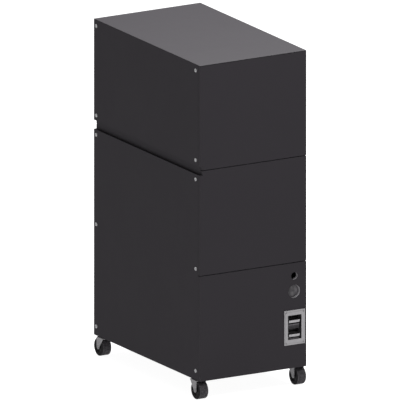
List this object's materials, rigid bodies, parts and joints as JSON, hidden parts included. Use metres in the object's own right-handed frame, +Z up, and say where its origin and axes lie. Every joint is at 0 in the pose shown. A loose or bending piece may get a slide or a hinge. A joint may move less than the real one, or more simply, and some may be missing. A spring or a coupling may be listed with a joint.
{
  "type": "tall chest of drawers",
  "caption": "Tall narrow black sheet-steel chest of drawers on swivel castors: flush handleless fronts, screwed side covers and a power plate with breakers on the lowest front.",
  "frame": {"origin": "on the floor, under the middle of the cabinet", "axes": "+Z up, the drawer fronts face -Y, +X is the right-hand side seen from the front"},
  "size_m": [0.3438, 0.588, 0.955],
  "materials": {
    "black_powder_coat": "matt black powder coat with a very fine texture",
    "zinc_steel": "bright zinc plated steel",
    "runner_steel": "rolled zinc plated steel",
    "fork_steel": "satin grey",
    "light_grey_plate": "satin light grey",
    "black_plastic": "moulded, fine spark-eroded texture",
    "light_grey_plastic": "moulded, satin",
    "wheel_plastic": "moulded black nylon",
    "castor_rubber": "matt black rubber tread"
  },
  "bodies": {
    "carcass": {"base_plate": "black_powder_coat", "left_wall": "black_powder_coat", "right_wall": "black_powder_coat", "bay_dividers": "black_powder_coat", "top_panel": "black_powder_coat", "back_panel_upper": "black_powder_coat", "back_panel_lower": "black_powder_coat", "left_upper_cover": "black_powder_coat", "left_lower_cover": "black_powder_coat", "right_cover": "black_powder_coat", "cover_and_panel_screws": "zinc_steel", "rivet_nuts": "zinc_steel", "runner_cabinet_members": "runner_steel", "push_latch_bodies": "black_plastic", "caster_stems": "zinc_steel", "caster_weld_bosses": "zinc_steel"},
    "bottom_drawer": {"bottom_drawer_front": "black_powder_coat", "bottom_drawer_box": "black_powder_coat", "bottom_drawer_front_screws": "zinc_steel", "bottom_runner_drawer_members": "runner_steel", "breaker_plate": "light_grey_plate", "breaker_plate_screws": "light_grey_plate", "circuit_breakers": "black_plastic", "breaker_housing": "black_powder_coat", "din_rail": "zinc_steel", "cable_bush": "black_plastic", "cable_grommet": "black_plastic"},
    "bottom_runner_middle": {"bottom_runner_middle_members": "runner_steel"},
    "bottom_latch": {"bottom_latch_plunger": "zinc_steel"},
    "middle_drawer": {"middle_drawer_front": "black_powder_coat", "middle_drawer_box": "black_powder_coat", "middle_drawer_front_screws": "zinc_steel", "middle_runner_drawer_members": "runner_steel"},
    "middle_runner_middle": {"middle_runner_middle_members": "runner_steel"},
    "middle_latch": {"middle_latch_plunger": "zinc_steel"},
    "top_drawer": {"top_drawer_front": "black_powder_coat", "top_drawer_box": "black_powder_coat", "top_drawer_front_screws": "zinc_steel", "top_runner_drawer_members": "runner_steel"},
    "top_runner_middle": {"top_runner_middle_members": "runner_steel"},
    "top_latch": {"top_latch_plunger": "zinc_steel"},
    "upper_toggle": {"upper_breaker_toggle": "light_grey_plastic"},
    "lower_toggle": {"lower_breaker_toggle": "light_grey_plastic"},
    "front_left_swivel": {"front_left_caster_fork": "fork_steel", "front_left_caster_axle": "zinc_steel"},
    "front_left_wheel": {"front_left_caster_wheel_core": "wheel_plastic", "front_left_caster_tyre": "castor_rubber"},
    "front_right_swivel": {"front_right_caster_fork": "fork_steel", "front_right_caster_axle": "zinc_steel"},
    "front_right_wheel": {"front_right_caster_wheel_core": "wheel_plastic", "front_right_caster_tyre": "castor_rubber"},
    "rear_left_swivel": {"rear_left_caster_fork": "fork_steel", "rear_left_caster_axle": "zinc_steel"},
    "rear_left_wheel": {"rear_left_caster_wheel_core": "wheel_plastic", "rear_left_caster_tyre": "castor_rubber"},
    "rear_right_swivel": {"rear_right_caster_fork": "fork_steel", "rear_right_caster_axle": "zinc_steel"},
    "rear_right_wheel": {"rear_right_caster_wheel_core": "wheel_plastic", "rear_right_caster_tyre": "castor_rubber"}
  },
  "joints": [
    {"name": "bottom_drawer_slide", "type": "slide", "parent": "carcass", "child": "bottom_drawer", "axis": [0, -1, 0], "range_m": [0, 0.45]},
    {"name": "bottom_runner_slide", "type": "slide", "parent": "carcass", "child": "bottom_runner_middle", "axis": [0, -1, 0], "range_m": [0, 0.225]},
    {"name": "bottom_latch_push", "type": "slide", "parent": "carcass", "child": "bottom_latch", "axis": [0, 1, 0], "range_m": [0, 0.0025], "stiffness_N_per_m": 300},
    {"name": "middle_drawer_slide", "type": "slide", "parent": "carcass", "child": "middle_drawer", "axis": [0, -1, 0], "range_m": [0, 0.45]},
    {"name": "middle_runner_slide", "type": "slide", "parent": "carcass", "child": "middle_runner_middle", "axis": [0, -1, 0], "range_m": [0, 0.225]},
    {"name": "middle_latch_push", "type": "slide", "parent": "carcass", "child": "middle_latch", "axis": [0, 1, 0], "range_m": [0, 0.0025], "stiffness_N_per_m": 300},
    {"name": "top_drawer_slide", "type": "slide", "parent": "carcass", "child": "top_drawer", "axis": [0, -1, 0], "range_m": [0, 0.45]},
    {"name": "top_runner_slide", "type": "slide", "parent": "carcass", "child": "top_runner_middle", "axis": [0, -1, 0], "range_m": [0, 0.225]},
    {"name": "top_latch_push", "type": "slide", "parent": "carcass", "child": "top_latch", "axis": [0, 1, 0], "range_m": [0, 0.0025], "stiffness_N_per_m": 300},
    {"name": "upper_breaker_switch", "type": "hinge", "parent": "bottom_drawer", "child": "upper_toggle", "pos_m": [0.1311, -0.2791, 0.1931], "axis": [-1, 0, 0], "range_deg": [0, 55.6]},
    {"name": "lower_breaker_switch", "type": "hinge", "parent": "bottom_drawer", "child": "lower_toggle", "pos_m": [0.1311, -0.2791, 0.1531], "axis": [-1, 0, 0], "range_deg": [0, 55.6]},
    {"name": "front_left_caster_swivel", "type": "hinge", "parent": "carcass", "child": "front_left_swivel", "pos_m": [-0.1555, -0.253, 0.058], "axis": [0, 0, 1], "continuous": true},
    {"name": "front_left_wheel_roll", "type": "hinge", "parent": "front_left_swivel", "child": "front_left_wheel", "pos_m": [-0.1555, -0.267, 0.0254], "axis": [1, 0, 0], "continuous": true},
    {"name": "front_right_caster_swivel", "type": "hinge", "parent": "carcass", "child": "front_right_swivel", "pos_m": [0.1555, -0.253, 0.058], "axis": [0, 0, 1], "continuous": true},
    {"name": "front_right_wheel_roll", "type": "hinge", "parent": "front_right_swivel", "child": "front_right_wheel", "pos_m": [0.1555, -0.267, 0.0254], "axis": [1, 0, 0], "continuous": true},
    {"name": "rear_left_caster_swivel", "type": "hinge", "parent": "carcass", "child": "rear_left_swivel", "pos_m": [-0.1555, 0.253, 0.058], "axis": [0, 0, 1], "continuous": true},
    {"name": "rear_left_wheel_roll", "type": "hinge", "parent": "rear_left_swivel", "child": "rear_left_wheel", "pos_m": [-0.1555, 0.267, 0.0254], "axis": [1, 0, 0], "continuous": true},
    {"name": "rear_right_caster_swivel", "type": "hinge", "parent": "carcass", "child": "rear_right_swivel", "pos_m": [0.1555, 0.253, 0.058], "axis": [0, 0, 1], "continuous": true},
    {"name": "rear_right_wheel_roll", "type": "hinge", "parent": "rear_right_swivel", "child": "rear_right_wheel", "pos_m": [0.1555, 0.267, 0.0254], "axis": [1, 0, 0], "continuous": true}
  ],
  "couplings": [
    {"joint": "bottom_runner_slide", "follows": "bottom_drawer_slide", "ratio": 0.5},
    {"joint": "middle_runner_slide", "follows": "middle_drawer_slide", "ratio": 0.5},
    {"joint": "top_runner_slide", "follows": "top_drawer_slide", "ratio": 0.5}
  ]
}
